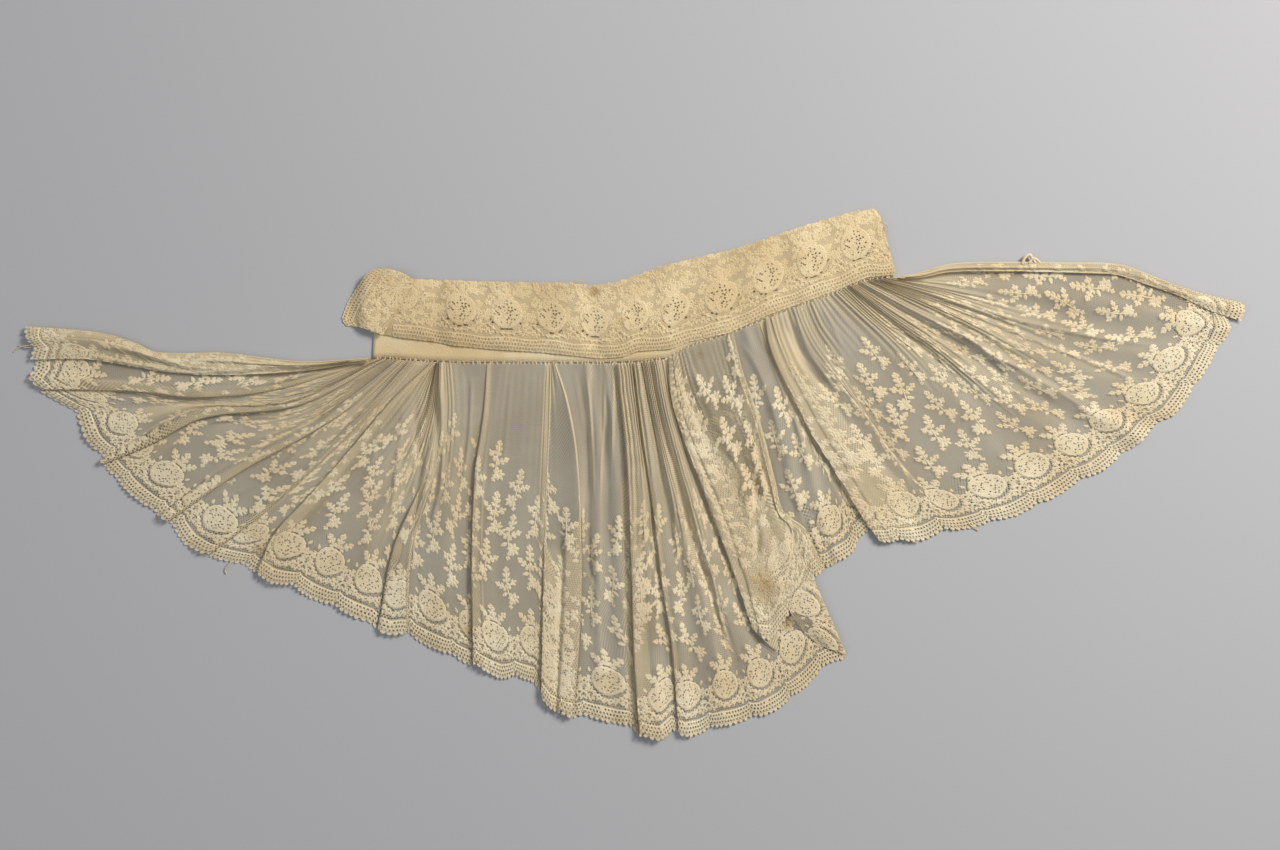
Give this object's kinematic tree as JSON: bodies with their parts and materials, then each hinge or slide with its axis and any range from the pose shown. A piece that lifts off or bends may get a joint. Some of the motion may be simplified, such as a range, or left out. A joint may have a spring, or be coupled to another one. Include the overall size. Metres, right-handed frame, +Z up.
{
  "type": "lace jabot",
  "caption": "Cream machine-lace jabot laid flat: a lace neckband on a tape, with a deep gathered lace flounce that fans out to both sides in folds.",
  "frame": {"origin": "centre of the bounding box at the surface that the jabot lies on", "axes": "+Z up from the surface, +Y towards the neck edge, +X along the neckband to its right end"},
  "size_m": [0.7284, 0.3174, 0.0071],
  "materials": {
    "flounce_lace": "matt bobbin net with machine-worked sprigs and a scalloped border, aged cream",
    "neckband_lace": "matt dense machine lace with low thread relief, aged cream",
    "neck_tape": "matt plain-woven cotton tape, aged ivory"
  },
  "bodies": {
    "root": {"neck_tape": "neck_tape", "neckband_lace": "neckband_lace", "neckband_turned_end": "neckband_lace", "flounce_left": "flounce_lace", "flounce_left_roll": "flounce_lace", "flounce_centre": "flounce_lace", "flounce_turned_corner": "flounce_lace", "flounce_cascade": "flounce_lace", "flounce_under_panel": "flounce_lace", "flounce_right": "flounce_lace", "flounce_right_roll": "flounce_lace"}
  },
  "joints": []
}
